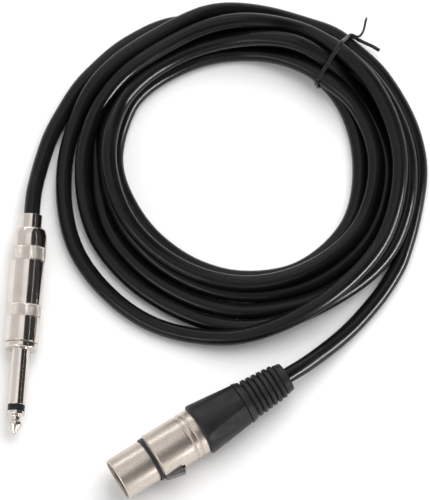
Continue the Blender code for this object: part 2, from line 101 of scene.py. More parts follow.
# Jack plug: stations from the tip and radii, as the CAD has them.
JACK_PIN_R = 3.175
JACK_ROD_R = 1.0
JACK_BARREL_R = 6.15
JACK_NECK_R = 3.95
JACK_END = 81.5
KNURL_BANDS = ((43.2, 47.7), (64.0, 69.1))
KNURL_ROUND = 36  # diamonds round the barrel
KNURL_STEPS = 8  # mesh steps to a diamond
KNURL_PITCH = 1.08
KNURL_DEPTH = 0.29
KNURL_RUNOUT = 0.25  # the length over which it fades in at a band's ends
KNURL_GROOVE = 0.12  # the depth of the line on each side of a band

# XLR socket: stations from the front and radii, as the CAD has them.
XLR_NOSE_R = 8.0
XLR_BODY_R = 8.95
XLR_BORE_R = 7.2
XLR_END = 71.5
NUT_ENDS = (34.2, 52.3)
NUT_RADII = (9.8, 8.2)  # at its front and rear
NUT_INSIDE_R = 7.2  # what is nearer to the axis is the nut's inside, and has no flats
NUT_FLATS = 6
NUT_FLAT_FIRST = math.radians(10)
NUT_APOTHEMS = (9.85, 7.7)  # the flats' distance from the axis, at the front and rear
BOOT_RIBS = 6
BOOT_FIRST_RIB = 55.6
BOOT_RIB_PITCH = 2.15
BOOT_RIB_R = 7.3
BOOT_RIB_TAPER = 0.18  # from one rib to the next
BOOT_RIB_HEIGHT = 0.95
CONTACT_CIRCLE_R = 3.8
CONTACT_R = 1.3
CONTACT_ANGLES = (75, 285, 180)  # degrees from the latch, for contacts 1, 2 and 3
PIVOT = (16.35, 7.65)  # the latch pin's station and distance from the axis
PIVOT_SEAT_R = 0.41
PIVOT_SEAT_HALF_LENGTH = 4.32
LATCH_SLOT = (15.0, 23.1)
LATCH_SLOT_HALF_WIDTH = 2.7
LATCH_HALF_WIDTH = 2.5
LATCH_EYE_R = 1.1
LATCH_EYE_BORE_R = 0.65
# The cheeks that stiffen the latch: half their thickness, their inset from its sides, and their outline as
# stations and distances from the axis.
LATCH_CHEEK_HALF = 0.2
LATCH_CHEEK_INSET = 0.05
LATCH_CHEEK = ((17.0, 8.3), (17.0, 9.4), (21.8, 10.5), (22.1, 9.4), (21.9, 8.3))

# Twist tie: it goes round the bundle in the upright plane through these two places in plan.
TIE_INSIDE = (37.0, 62.5)
TIE_OUTSIDE = (48.4, 80.2)
TIE_WIDTH = 1.5
TIE_THICKNESS = 0.75
TIE_RIDGE = 0.16  # how far the wire in it raises its middle
TIE_CLEARANCE = 0.16  # between it and the strands
TIE_SLACK = 0.35  # more clearance on the coil's inside
TWIST_START = (49.3, 80.3, 5.6)
TWIST_END = (51.0, 79.6, 5.0)
TWIST_R = 0.5
TWIST_TURNS = 1.25
TWIST_STEPS = 12
UPPER_TAIL = ((52.2, 80.2, 5.6), (53.2, 81.3, 6.8), (53.8, 82.9, 8.2), (54.1, 84.3, 9.4), (54.5, 85.6, 10.4))
LOWER_TAIL = ((52.3, 78.6, 4.9), (54.3, 77.5, 5.2), (56.8, 76.2, 5.6), (59.2, 74.6, 6.0))
UPPER_TAIL_FACE = (-0.8, 0.6, 0.1)  # the way each tail's flat side faces
LOWER_TAIL_FACE = (0.2, 0.2, 0.95)
BUNDLE_REACH = 40.0  # the most that a strand in the tie is from the place on its inside
LOOP_DEGREES = range(10, 351, 5)  # round the bundle, from the coil's outside and up
TIE_POINT_SPACING = 0.35


# ---------------------------------------------------------------- geometry helpers


def station(axis, distance):
    """The point at a distance along a connector's axis."""
    (x, y), azimuth, height = axis
    return (x + distance * math.cos(azimuth), y + distance * math.sin(azimuth), height)


def connector_frame(axis):
    """The matrix that lays a connector modelled along Z on the surface, with its Y axis up."""
    turn = Matrix.Rotation(axis[1] + math.pi / 2, 4, "Z") @ Matrix.Rotation(math.pi / 2, 4, "X")
    return Matrix.Translation(Vector(station(axis, 0)) * MM) @ turn


def add(name, data, place, finish, slot, body, *replaced):
    """Puts a piece into the scene: its material, its body and the CAD nodes it stands for. The slot argument
    is not used.
    """
    obj = bpy.data.objects.new(name, data)
    bpy.context.scene.collection.objects.link(obj)
    obj.matrix_world = place
    data.materials.append(finish)
    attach(obj, body)
    if replaced:
        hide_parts(*replaced)
    return obj


def smooth_curve(points, spacing, steps=16):
    """Points at equal spacing on a smooth curve through the given ones."""
    points = np.array(points, float)
    ends = np.vstack([2 * points[0] - points[1], points, 2 * points[-1] - points[-2]])
    gap = np.sqrt(np.linalg.norm(np.diff(ends, axis=0), axis=1))
    t = np.linspace(0, 1, steps, endpoint=False)[:, None]
    fine = []
    for i in range(1, len(ends) - 2):
        a, b, c, d = ends[i - 1 : i + 3]
        before, span, after = gap[i - 1 : i + 2]
        leave = ((b - a) / before - (c - a) / (before + span) + (c - b) / span) * span
        arrive = ((c - b) / span - (d - b) / (span + after) + (d - c) / after) * span
        fine.append(
            b * (2 * t**3 - 3 * t**2 + 1)
            + leave * (t**3 - 2 * t**2 + t)
            + c * (3 * t**2 - 2 * t**3)
            + arrive * (t**3 - t**2)
        )
    return evenly(np.vstack([*fine, points[-1:]]), spacing)


def evenly(line, spacing):
    """The same line with its points at equal spacing. Columns past the third are carried along."""
    run = np.concatenate([[0], np.cumsum(np.linalg.norm(np.diff(line[:, :3], axis=0), axis=1))])
    at = np.linspace(0, run[-1], round(run[-1] / spacing) + 1)
    return np.column_stack([np.interp(at, run, column) for column in line.T])


def tube_curve(name, points, radius, resolution):
    curve = bpy.data.curves.new(name, "CURVE")
    curve.dimensions = "3D"
    curve.bevel_depth = radius * MM
    curve.bevel_resolution = resolution
    curve.use_fill_caps = True
    spline = curve.splines.new("POLY")
    spline.points.add(len(points) - 1)
    flat = np.column_stack([np.array(points) * MM, np.ones(len(points))])
    spline.points.foreach_set("co", flat.ravel())
    spline.use_smooth = True
    return curve


def rounded(outline, closed, steps=5):
    """The outline as plain points. A corner's third number, if it has one, is how far it is rounded."""
    share_of_side = 0.45  # the most that one corner's rounding takes
    points = []
    for i, (radius, along, *fillet) in enumerate(outline):
        corner = Vector((radius, along))
        inner_end = not closed and i in (0, len(outline) - 1)
        if not fillet or inner_end:
            points.append(corner)
            continue
        before = Vector(outline[i - 1][:2]) - corner
        after = Vector(outline[(i + 1) % len(outline)][:2]) - corner
        cut = min(fillet[0], share_of_side * before.length, share_of_side * after.length)
        start = corner + before.normalized() * cut
        end = corner + after.normalized() * cut
        for k in range(steps + 1):
            t = k / steps
            points.append(start * (1 - t) ** 2 + corner * 2 * t * (1 - t) + end * t**2)
    return points


def turned(name, outline, steps=96, shape=None):
    """A mesh turned about Z. The outline of (radius, station, rounding) is a closed loop unless both its ends
    are on the axis. shape(turn, station, radius) may change a point's radius."""
    closed = outline[0][0] > 0
    points = rounded(outline, closed)
    cage = bmesh.new()
    rings = []
    for i in range(steps):
        turn = 2 * math.pi * i / steps
        ring = []
        for radius, along in points:
            out = shape(turn, along, radius) if shape else radius
            place = Vector((out * math.cos(turn), out * math.sin(turn), along))
            ring.append(cage.verts.new(place * MM))
        rings.append(ring)
    count = len(points) if closed else len(points) - 1
    for here, there in zip(rings, rings[1:] + rings[:1]):
        for k in range(count):
            after = (k + 1) % len(points)
            cage.faces.new((here[k], here[after], there[after], there[k]))
    bmesh.ops.remove_doubles(cage, verts=cage.verts, dist=WELD)
    return mesh_from(name, cage)


def mesh_from(name, cage, sharp_degrees=35):
    """The mesh of a finished cage, shaded smooth but for its sharp edges."""
    bmesh.ops.recalc_face_normals(cage, faces=cage.faces)
    mesh = bpy.data.meshes.new(name)
    cage.to_mesh(mesh)
    cage.free()
    mesh.shade_smooth()
    mesh.set_sharp_from_angle(angle=math.radians(sharp_degrees))
    return mesh


def block(low, high, bevel=0.0):
    low, high = Vector(low) * MM, Vector(high) * MM
    cage = bmesh.new()
    bmesh.ops.create_cube(cage, size=1.0)
    bmesh.ops.scale(cage, vec=high - low, verts=cage.verts)
    bmesh.ops.translate(cage, vec=(high + low) / 2, verts=cage.verts)
    if bevel:
        bmesh.ops.bevel(cage, geom=cage.edges[:], offset=bevel * MM, segments=3, profile=0.5, affect="EDGES")
    return mesh_from("block", cage)


def rod(radius, start, end, sides=32):
    start, end = Vector(start) * MM, Vector(end) * MM
    turn = (end - start).to_track_quat("Z", "Y").to_matrix().to_4x4()
    cage = bmesh.new()
    bmesh.ops.create_cone(
        cage, cap_ends=True, segments=sides, radius1=radius * MM, radius2=radius * MM,
        depth=(end - start).length, matrix=Matrix.Translation((start + end) / 2) @ turn,
    )
    return mesh_from("rod", cage)


def carved(mesh, *cutters, joined=()):
    """The mesh with some meshes joined to it, and the cutters' meshes then cut out of it."""
    body = bpy.data.objects.new("body", mesh)
    helpers = [body]
    bpy.context.scene.collection.objects.link(body)
    steps = [("UNION", other) for other in joined] + [("DIFFERENCE", other) for other in cutters]
    for operation, other in steps:
        tool = bpy.data.objects.new("tool", other)
        bpy.context.scene.collection.objects.link(tool)
        helpers.append(tool)
        step = body.modifiers.new("Step", "BOOLEAN")
        step.operation, step.solver, step.object = operation, "EXACT", tool
    graph = bpy.context.evaluated_depsgraph_get()
    cage = bmesh.new()
    cage.from_object(body, graph)
    name = mesh.name
    for helper in helpers:
        data = helper.data
        bpy.data.objects.remove(helper)
        bpy.data.meshes.remove(data)
    bmesh.ops.remove_doubles(cage, verts=cage.verts, dist=WELD)
    return mesh_from(name, cage)


def sheet_metal(name, outline, half_width, bevel):
    """A flat shape of constant width, drawn as (station, distance from the axis) on the latch's side."""
    cage = bmesh.new()
    corners = [cage.verts.new(Vector((-out, -half_width, along)) * MM) for along, out in outline]
    face = cage.faces.new(corners)
    grown = bmesh.ops.extrude_face_region(cage, geom=[face])
    moved = [v for v in grown["geom"] if isinstance(v, bmesh.types.BMVert)]
    bmesh.ops.translate(cage, vec=(0, 2 * half_width * MM, 0), verts=moved)
    bmesh.ops.bevel(
        cage, geom=cage.edges[:], offset=bevel * MM, segments=3, profile=0.5, affect="EDGES",
        clamp_overlap=True,
    )
    return mesh_from(name, cage, 30)


# ---------------------------------------------------------------- the cable


def polar(bearing, radius, layer=0.0):
    turn = math.radians(bearing)
    x, y = COIL_CENTRE
    return (x + radius * math.cos(turn), y + radius * math.sin(turn), CABLE_R + LAYER * layer)


def cable_plan():
    """The route's points from inside the jack, round the coil and into the XLR socket."""
    points = [station(JACK_AXIS, s) for s in JACK_CABLE_STATIONS]
    points += JACK_LEAD_ROUTE
    points += [polar(*place) for place in JACK_RUN_IN]
    for radii, layers in zip(TURN_RADII, TURN_LAYERS):
        for i, (radius, layer) in enumerate(zip(radii, layers)):
            points.append(polar(FIRST_BEARING - BEARING_STEP * i, radius, layer))
    points += [polar(*place) for place in XLR_RUN_OUT]
    points += XLR_LEAD_ROUTE
    points += [station(XLR_AXIS, s) for s in XLR_CABLE_STATIONS]
    return points


def soften(values, times=2):
    for _ in range(times):
        values[1:-1] += 0.5 * (0.5 * (values[:-2] + values[2:]) - values[1:-1])
    return values


def near_pairs(points, reach, apart):
    """Pairs of points, at least so many points apart along the cable, that lie within reach."""
    i, j = np.triu_indices(len(points), apart)
    near = np.abs(points[i] - points[j]).max(1) < reach
    return i[near], j[near]


def settle(plan, rounds=400):
    """Lets the planned cable lie as a solid one: its strands push each other apart, and it sinks until it
    rests on the surface or on itself. The plan holds it loosely, and its ends stay in the connectors."""
    pull, fall, touch, overstep = 0.93, 0.01, CABLE_D + 0.06, 1.6
    look_every, look_margin, least_apart = 25, 4, 6
    jack_held, jack_ease, xlr_held, xlr_ease = 12, 10, 15, 12  # points at each end
    along = np.arange(len(plan))
    free = np.clip((along - jack_held) / jack_ease, 0, 1)
    free *= np.clip((len(plan) - xlr_held - along) / xlr_ease, 0, 1)
    free = free[:, None]
    points = plan.copy()
    for count in range(rounds):
        if count % look_every == 0:
            i, j = near_pairs(points, CABLE_D + look_margin, least_apart)
        move = points - plan
        move[:, :2] *= pull
        move[:, 2] -= fall
        points = plan + move * free

        gap = points[j] - points[i]
        distance = np.linalg.norm(gap, axis=1)
        hit = distance < touch
        half = gap[hit] / distance[hit, None] * (touch - distance[hit, None]) / 2
        push, hits = np.zeros_like(points), np.zeros(len(points))
        np.add.at(push, i[hit], -half)
        np.add.at(push, j[hit], half)
        np.add.at(hits, np.concatenate([i[hit], j[hit]]), 1)
        points += overstep * soften(push / np.maximum(hits, 1)[:, None]) * free

        points[:, 2] = np.maximum(points[:, 2], CABLE_R)
        points = plan + soften(points - plan) * free
        points[:, 2] = np.maximum(points[:, 2], CABLE_R)
    return points


# ---------------------------------------------------------------- materials


class Finish:
    """A procedural material on a Principled shader. Texture places are the piece's own, in metres."""

    def __init__(self, name, colour, roughness, metallic=0.0):
        self.made = bpy.data.materials.new(name)
        self.made.use_nodes = True
        self.tree = self.made.node_tree
        self.shader = self.tree.nodes["Principled BSDF"]
        self.shader.inputs["Base Color"].default_value = (*colour, 1)
        self.shader.inputs["Roughness"].default_value = roughness
        self.shader.inputs["Metallic"].default_value = metallic
        self.colour = colour
        self.place = self.node("ShaderNodeTexCoord").outputs["Object"]
        self.bump_into = self.shader.inputs["Normal"]

    def node(self, kind, **settings):
        made = self.tree.nodes.new(kind)
        for key, value in settings.items():
            setattr(made, key, value)
        return made

    def join(self, start, end):
        self.tree.links.new(start, end)

    def noise(self, size_mm, detail=3.0, stretch=(1, 1, 1)):
        """Noise with features of about this size, drawn out by stretch."""
        scaled = self.node("ShaderNodeMapping")
        scaled.inputs["Scale"].default_value = [1 / (size_mm * MM * s) for s in stretch]
        self.join(self.place, scaled.inputs["Vector"])
        made = self.node("ShaderNodeTexNoise")
        made.inputs["Scale"].default_value = 1.0
        made.inputs["Detail"].default_value = detail
        self.join(scaled.outputs["Vector"], made.inputs["Vector"])
        return made.outputs["Fac"]

    def span(self, value, low, high, start=0.35, end=0.65):
        """The value's range start to end, turned into low to high."""
        made = self.node("ShaderNodeMapRange")
        for key, number in zip(("From Min", "From Max", "To Min", "To Max"), (start, end, low, high)):
            made.inputs[key].default_value = number
        self.join(value, made.inputs["Value"])
        return made.outputs["Result"]

    def roughness(self, value, low, high):
        self.join(self.span(value, low, high), self.shader.inputs["Roughness"])

    def tint(self, value, light, start=0.35, end=0.65):
        """Mixes a second colour in where the value is high."""
        made = self.node("ShaderNodeMix", data_type="RGBA")
        made.inputs["A"].default_value = (*self.colour, 1)
        made.inputs["B"].default_value = (*light, 1)
        self.join(self.span(value, 0, 1, start, end), made.inputs["Factor"])
        self.join(made.outputs["Result"], self.shader.inputs["Base Color"])

    def bump(self, height, depth_mm, strength=1.0):
        """A bump of this depth, on top of any that came before."""
        made = self.node("ShaderNodeBump")
        made.inputs["Distance"].default_value = depth_mm * MM
        made.inputs["Strength"].default_value = strength
        self.join(height, made.inputs["Height"])
        self.join(made.outputs["Normal"], self.bump_into)
        self.bump_into = made.inputs["Normal"]


def jacket_finish():
    made = Finish("black_cable_jacket", (0.003, 0.003, 0.0034), 0.3)
    made.roughness(made.noise(14, 4), 0.2, 0.31)
    made.tint(made.noise(30, 3), (0.006, 0.006, 0.0064))
    made.bump(made.noise(0.9, 2), 0.010)
    made.shader.inputs["IOR"].default_value = 1.48
    made.shader.inputs["Specular IOR Level"].default_value = 0.22
    return made.made


def polished_nickel_finish():
    """Bright plate with faint turning marks round the piece."""
    made = Finish("polished_nickel", (0.73, 0.665, 0.615), 0.12, 1.0)
    made.roughness(made.noise(6, 4), 0.08, 0.17)
    made.tint(made.noise(9, 4), (0.65, 0.59, 0.54))
    made.bump(made.noise(0.25, 2, (60, 60, 1)), 0.0012)
    made.bump(made.noise(2.5, 3), 0.003)
    return made.made


def satin_nickel_finish():
    """Fine blasted plate: a grain that shows, with warm and grey patches."""
    made = Finish("satin_nickel", (0.68, 0.59, 0.525), 0.34, 1.0)
    made.roughness(made.noise(0.5, 3), 0.28, 0.40)
    made.tint(made.noise(0.45, 3), (0.53, 0.48, 0.415), 0.42, 0.62)
    made.bump(made.noise(0.45, 3), 0.010)
    return made.made


def moulded_finish(name, colour, light, low, high, grain_mm, depth_mm):
    """Moulded plastic or rubber: an even grain and soft patches of shine."""
    made = Finish(name, colour, (low + high) / 2)
    made.roughness(made.noise(5, 4), low, high)
    made.tint(made.noise(8, 5), light)
    made.bump(made.noise(grain_mm, 3), depth_mm)
    made.shader.inputs["Specular IOR Level"].default_value = 0.3
    return made.made


def metal_finish(name, colour, light, roughness, grain_mm=0.4):
    made = Finish(name, colour, roughness, 1.0)
    made.roughness(made.noise(2, 4), roughness - 0.06, roughness + 0.08)
    made.tint(made.noise(3, 4), light)
    made.bump(made.noise(grain_mm, 3), 0.004)
    return made.made


def clear_finish():
    made = Finish("clear_plastic", (0.82, 0.82, 0.80), 0.2)
    made.shader.inputs["Transmission Weight"].default_value = 0.7
    made.shader.inputs["IOR"].default_value = 1.5
    made.roughness(made.noise(4, 3), 0.15, 0.3)
    made.bump(made.noise(1.5, 3), 0.01)
    return made.made


def fibre_finish():
    made = Finish("pressed_fibre", (0.30, 0.12, 0.06), 0.8)
    made.roughness(made.noise(1, 4), 0.7, 0.9)
    made.tint(made.noise(0.4, 4), (0.38, 0.18, 0.09))
    made.bump(made.noise(0.2, 4), 0.02)
    return made.made


# ---------------------------------------------------------------- the jack plug


def band(start, end, spacing=0.15):
    """Stations closely spaced along a knurled band, from its rear to its front."""
    count = round((end - start) / spacing)
    return [end - (end - start) * i / count for i in range(count + 1)]


def knurl(turn, along, radius):
    """Raises diamonds on the barrel's two bands, and leaves the rest as it is."""
    for start, end in KNURL_BANDS:
        if radius > JACK_BARREL_R - 0.01 and start < along < end:
            around = turn / (2 * math.pi) * KNURL_ROUND
            rows = (along - start) / KNURL_PITCH
            ridges = [1 - abs(2 * (v - math.floor(v)) - 1) for v in (around + rows, around - rows)]
            edge = min(1.0, (along - start) / KNURL_RUNOUT, (end - along) / KNURL_RUNOUT)
            return radius + KNURL_DEPTH * edge * (min(ridges) - 1)
    return radius


def jack_plug(place, plate, plastic):
    tip = [
        (0, 44.9), (1.6, 44.9), (1.6, 44.1), (JACK_ROD_R, 44.1), (JACK_ROD_R, 8.75), (JACK_PIN_R, 8.75, 0.15),
        (JACK_PIN_R, 7.55, 0.25), (2.0, 6.9, 0.35), (2.0, 5.6, 0.35), (2.68, 4.7, 0.25), (2.72, 3.75, 0.3),
        (0.75, 0.35, 0.45), (0, 0),
    ]
    bore = JACK_ROD_R + 0.3
    insulator = [
        (1.9, 42.0), (1.9, 11.0), (3.1, 11.0, 0.12), (3.1, 10.2, 0.05), (2.93, 10.1), (2.93, 9.85),
        (3.1, 9.75, 0.05), (3.1, 8.9, 0.12), (bore, 8.9), (bore, 42.0),
    ]
    sleeve = [
        (4.9, 41.0), (4.9, 33.6), (JACK_BARREL_R, 33.6, 0.15), (JACK_BARREL_R, 31.6, 0.7),
        (JACK_PIN_R, 31.6, 0.2), (JACK_PIN_R, 11.15, 0.15), (2.2, 11.15), (2.2, 41.0),
    ]
    r = JACK_BARREL_R
    groove = r - KNURL_GROOVE
    barrel = [(JACK_NECK_R, JACK_END, 0.2), (JACK_NECK_R, 76.35, 0.3), (5.5, 76.2, 0.9), (r, 73.8, 0.9)]
    for start, end in reversed(KNURL_BANDS):
        barrel += [(r, end + 0.3), (groove, end + 0.25), (groove, end + 0.05)]
        barrel += [(r, along) for along in band(start, end)]
        barrel += [(groove, start - 0.05), (groove, start - 0.25), (r, start - 0.3)]
    barrel += [
        (r, 33.9, 0.25), (5.2, 33.9), (5.2, 42.0), (5.45, 42.3), (5.45, 73.2), (3.2, 74.8),
        (3.2, JACK_END, 0.2),
    ]
    pieces = [
        ("jack_tip", tip, 96, None, plate, "polished_nickel", "jack_tip_rod"),
        ("jack_insulator", insulator, 96, None, plastic, "black_plastic", "jack_tip_insulator"),
        ("jack_pin_and_flange", sleeve, 128, None, plate, "polished_nickel", "jack_sleeve"),
        (
            "jack_knurled_barrel", barrel, KNURL_ROUND * KNURL_STEPS, knurl, plate,
            "polished_nickel", "jack_barrel",
        ),
    ]
    for name, outline, steps, shape, finish, slot, node in pieces:
        add(name, turned(name, outline, steps, shape), place, finish, slot, "cable", node)


# ---------------------------------------------------------------- the XLR socket


def contact_places():
    """Each contact's place across the socket. The latch is on the -X side."""
    for angle in CONTACT_ANGLES:
        turn = math.pi + math.radians(angle)
        yield CONTACT_CIRCLE_R * math.cos(turn), CONTACT_CIRCLE_R * math.sin(turn)


def shell_mesh():
    body, nose = XLR_BODY_R, XLR_NOSE_R
    outline = [
        (7.9, 40.0), (7.9, 33.9), (8.8, 33.9, 0.25), (8.8, 31.6, 0.2), (8.5, 31.45, 0.1), (8.5, 30.85, 0.1),
        (8.82, 30.7, 0.2), (8.84, 29.4, 0.2), (8.52, 29.25, 0.1), (8.52, 28.65, 0.1), (8.84, 28.5, 0.2),
        (body, 15.5, 0.4), (8.7, 15.15, 0.15), (7.7, 15.15), (7.7, 13.15), (nose, 13.15, 0.15),
        (nose, 0.3, 0.3), (7.7, 0, 0.2), (XLR_BORE_R, 0, 0.15), (XLR_BORE_R, 40.0),
    ]
    start, end = LATCH_SLOT
    along, out = PIVOT
    slot = block((-12.0, -LATCH_SLOT_HALF_WIDTH, start), (-6.0, LATCH_SLOT_HALF_WIDTH, end), 0.3)
    seat = rod(PIVOT_SEAT_R, (-out, -PIVOT_SEAT_HALF_LENGTH, along), (-out, PIVOT_SEAT_HALF_LENGTH, along))
    return carved(turned("xlr_body", outline, 160), slot, seat)


def insert_mesh():
    """The moulded insert: a raised rim, three countersunk holes and a keyway."""
    radius, front, end = XLR_BORE_R - 0.3, 0.9, 21.0
    outline = [
        (0, end), (radius, end, 0.2), (radius, front, 0.25), (radius - 0.8, front, 0.15),
        (radius - 1.0, front + 0.35, 0.1), (0, front + 0.35),
    ]
    cutters = [block((-8.0, -3.3, -1.0), (-5.9, 3.3, end + 1), 0.25)]
    for x, y in contact_places():
        hole = CONTACT_R + 0.3
        countersink = [
            (0, 0.0), (hole + 1.0, 0.0), (hole + 0.7, front + 0.3), (hole, front + 0.9), (hole, end + 1),
            (0, end + 1),
        ]
        mesh = turned("hole", countersink, 48)
        mesh.transform(Matrix.Translation((x * MM, y * MM, 0)))
        cutters.append(mesh)
    return carved(turned("xlr_socket_insert", outline, 128), *cutters)


def nut_flats(turn, along, radius):
    """Six flats that widen from nothing near the nut's front to its rear."""
    front, rear = NUT_ENDS
    if radius < NUT_INSIDE_R or along < front + 1:
        return radius
    share = (along - front) / (rear - front)
    apothem = NUT_APOTHEMS[0] + (NUT_APOTHEMS[1] - NUT_APOTHEMS[0]) * share
    pitch = 2 * math.pi / NUT_FLATS
    off = (turn - NUT_FLAT_FIRST + pitch / 2) % pitch - pitch / 2
    return min(radius, apothem / math.cos(off))


def nut_mesh():
    front, rear = NUT_ENDS
    wide, narrow = NUT_RADII
    shoulder, steps = front + 1.0, 24
    slope = [
        (wide + (narrow - wide) * i / steps, shoulder + (rear - shoulder) * i / steps)
        for i in range(steps, -1, -1)
    ]
    outline = [
        (4.4, rear, 0.1), *slope, (9.75, front + 0.45, 0.2), (9.3, front, 0.25), (8.2, front), (8.2, 40.6),
        (7.0, 40.8), (7.0, 45.0), (5.6, 50.6), (4.4, 51.0),
    ]
    return turned("xlr_nut", outline, 180, nut_flats)


def boot_mesh():
    outline = [(5.35, XLR_END, 0.3), (5.85, 68.75, 0.25), (5.4, 68.45, 0.1)]
    for i in reversed(range(BOOT_RIBS)):
        front = BOOT_FIRST_RIB + BOOT_RIB_PITCH * i
        rear = front + BOOT_RIB_PITCH
        crest = BOOT_RIB_R - BOOT_RIB_TAPER * i
        foot = crest - BOOT_RIB_HEIGHT
        outline += [
            (foot, rear - 0.12, 0.1), (crest, rear - 0.4, 0.35), (crest, front + 0.4, 0.35),
            (foot, front + 0.12, 0.1),
        ]
    outline += [
        (6.5, 55.2, 0.1), (7.3, 55.1, 0.3), (8.1, 52.65, 0.3), (7.6, 52.6), (4.1, 52.6), (4.1, 50.4),
        (3.2, 50.4), (3.2, XLR_END, 0.15),
    ]
    return turned("xlr_ribbed_boot", outline, 128)


def latch_mesh():
    """A sheet-metal tab that turns on its pin, with a cheek along each side."""
    along, out = PIVOT
    outline = [
        (15.25, out), (15.25, 9.0), (15.35, 9.15), (15.6, 9.25), (21.75, 10.7), (22.1, 10.7), (22.25, 10.5),
        (22.25, 9.3), (21.7, 9.3), (21.5, 10.08), (17.45, 9.05), (17.45, out),
    ]
    # The round underside of the eye joins the outline's two ends.
    outline += [
        (along + LATCH_EYE_R * math.cos(turn), out - LATCH_EYE_R * math.sin(turn))
        for turn in (math.pi * i / 8 for i in range(1, 8))
    ]
    tab = sheet_metal("xlr_release_latch", outline, LATCH_HALF_WIDTH, 0.1)
    off_centre = LATCH_HALF_WIDTH - LATCH_CHEEK_INSET - LATCH_CHEEK_HALF
    cheeks = []
    for side in (-1, 1):
        cheek = sheet_metal("cheek", LATCH_CHEEK, LATCH_CHEEK_HALF, 0.05)
        cheek.transform(Matrix.Translation((0, side * off_centre * MM, 0)))
        cheeks.append(cheek)
    return carved(tab, rod(LATCH_EYE_BORE_R, (-out, -4.0, along), (-out, 4.0, along)), joined=cheeks)


def xlr_socket(place, plate, plastic, rubber, steel, gold):
    ring = [
        (8.5, 14.85, 0.2), (8.5, 14.35, 0.1), (8.4, 14.15, 0.1), (8.5, 13.95, 0.1), (8.5, 13.45, 0.2),
        (8.0, 13.45), (8.0, 14.85),
    ]
    pieces = [
        (shell_mesh(), plate, "satin_nickel", "cable", "xlr_shell"),
        (turned("xlr_ring", ring, 128), rubber, "black_rubber", "cable", "xlr_coding_ring"),
        (insert_mesh(), plastic, "black_plastic", "cable", "xlr_insert"),
        (nut_mesh(), plastic, "black_plastic", "cable", "xlr_back_nut"),
        (boot_mesh(), rubber, "black_rubber", "cable", "xlr_boot"),
        (latch_mesh(), steel, "spring_steel", "latch", "xlr_latch"),
    ]
    made = [add(mesh.name, mesh, place, *looks) for mesh, *looks in pieces]
    profile = [
        (0, 22.6), (0.9, 22.6, 0.1), (0.9, 25.5, 0.1), (CONTACT_R, 25.5, 0.15), (CONTACT_R, 1.4, 0.2),
        (0.95, 1.4, 0.1), (0.95, 12.0), (0, 12.0),
    ]
    for number, (x, y) in enumerate(contact_places(), 1):
        mesh = turned(f"xlr_socket_contact_{number}", profile, 40)
        mesh.transform(Matrix.Translation((x * MM, y * MM, 0)))
        made.append(add(mesh.name, mesh, place, gold, "gold_plate", "cable", f"xlr_contact_{number}"))
    return made


# ---------------------------------------------------------------- the twist tie


def tie_line(strands):
    """The tie's centre line with the way its flat side faces: one tail, the twist, the loop that is drawn
    tight round the strands, the twist again and the other tail."""
    inside, outside = np.array(TIE_INSIDE), np.array(TIE_OUTSIDE)
    way = (outside - inside) / np.linalg.norm(outside - inside)
    across = strands[:, :2] - inside
    side = across @ np.array((-way[1], way[0]))
    crossing = np.nonzero((side[:-1] * side[1:] < 0) & (np.abs(across[:-1] @ way) < BUNDLE_REACH))[0]
    centres = np.column_stack([across[crossing] @ way, strands[crossing, 2]])

    reach = CABLE_R + TIE_THICKNESS / 2 + TIE_CLEARANCE
    loop = []
    for degrees in LOOP_DEGREES:
        turn = math.radians(degrees)
        aim = np.array((math.cos(turn), math.sin(turn)))
        slack = TIE_SLACK * max(0.0, -aim[0])
        place = centres[np.argmax(centres @ aim)] + aim * (reach + slack)
        loop.append((*(inside + way * place[0]), max(place[1], TIE_THICKNESS), *(way * aim[0]), aim[1]))

    start, end = np.array(TWIST_START), np.array(TWIST_END)
    axis = (end - start) / np.linalg.norm(end - start)
    up = np.cross(axis, np.cross((0.0, 0.0, 1.0), axis))
    level = np.cross(up, axis)

    def strand_of_twist(phase):
        found = []
        for i in range(TWIST_STEPS + 1):
            turn = phase + 2 * math.pi * TWIST_TURNS * i / TWIST_STEPS
            out = up * math.cos(turn) + level * math.sin(turn)
            found.append((*(start + (end - start) * i / TWIST_STEPS + out * TWIST_R), *out))
        return found

    upper = [(*p, *UPPER_TAIL_FACE) for p in reversed(UPPER_TAIL)]
    lower = [(*p, *LOWER_TAIL_FACE) for p in LOWER_TAIL]
    line = [*upper, *reversed(strand_of_twist(0)), *loop, *strand_of_twist(math.pi), *lower]
    return smooth_curve(line, TIE_POINT_SPACING, 6)


def tie_section(sides=16):
    """The tie's section, as places across its width and through its thickness."""
    section = []
    for i in range(sides):
        turn = 2 * math.pi * i / sides
        ridge = TIE_RIDGE * abs(math.sin(turn)) ** 6
        rise = (TIE_THICKNESS / 2 - 0.1) * math.sin(turn) + math.copysign(ridge, math.sin(turn))
        section.append((TIE_WIDTH / 2 * math.cos(turn), rise))
    return section


def tie_mesh(line):
    """A flat band of plastic with a wire in its middle, swept along the line."""
    section = tie_section()
    cage = bmesh.new()
    rings = []
    points, faces = line[:, :3], line[:, 3:]
    along = np.gradient(points, axis=0)
    for point, run, out in zip(points, along, faces):
        run = Vector(run).normalized()
        out = Vector(out)
        out = (out - run * out.dot(run)).normalized()
        wide = run.cross(out)
        rings.append([cage.verts.new((Vector(point) + wide * a + out * b) * MM) for a, b in section])
    for here, there in zip(rings, rings[1:]):
        for k in range(len(section)):
            after = (k + 1) % len(section)
            cage.faces.new((here[k], here[after], there[after], there[k]))
    cage.faces.new(rings[0])
    cage.faces.new(rings[-1])
    return mesh_from("tie", cage, 50)


# ---------------------------------------------------------------- studio


# The studio's places and sizes are in metres, and its powers in watts.
KEY_PLACE = (0.5, 0.55, 1.1)
KEY_SIDE = 1.5
KEY_POWER = 21
FLOOR_SHADE = 0.94
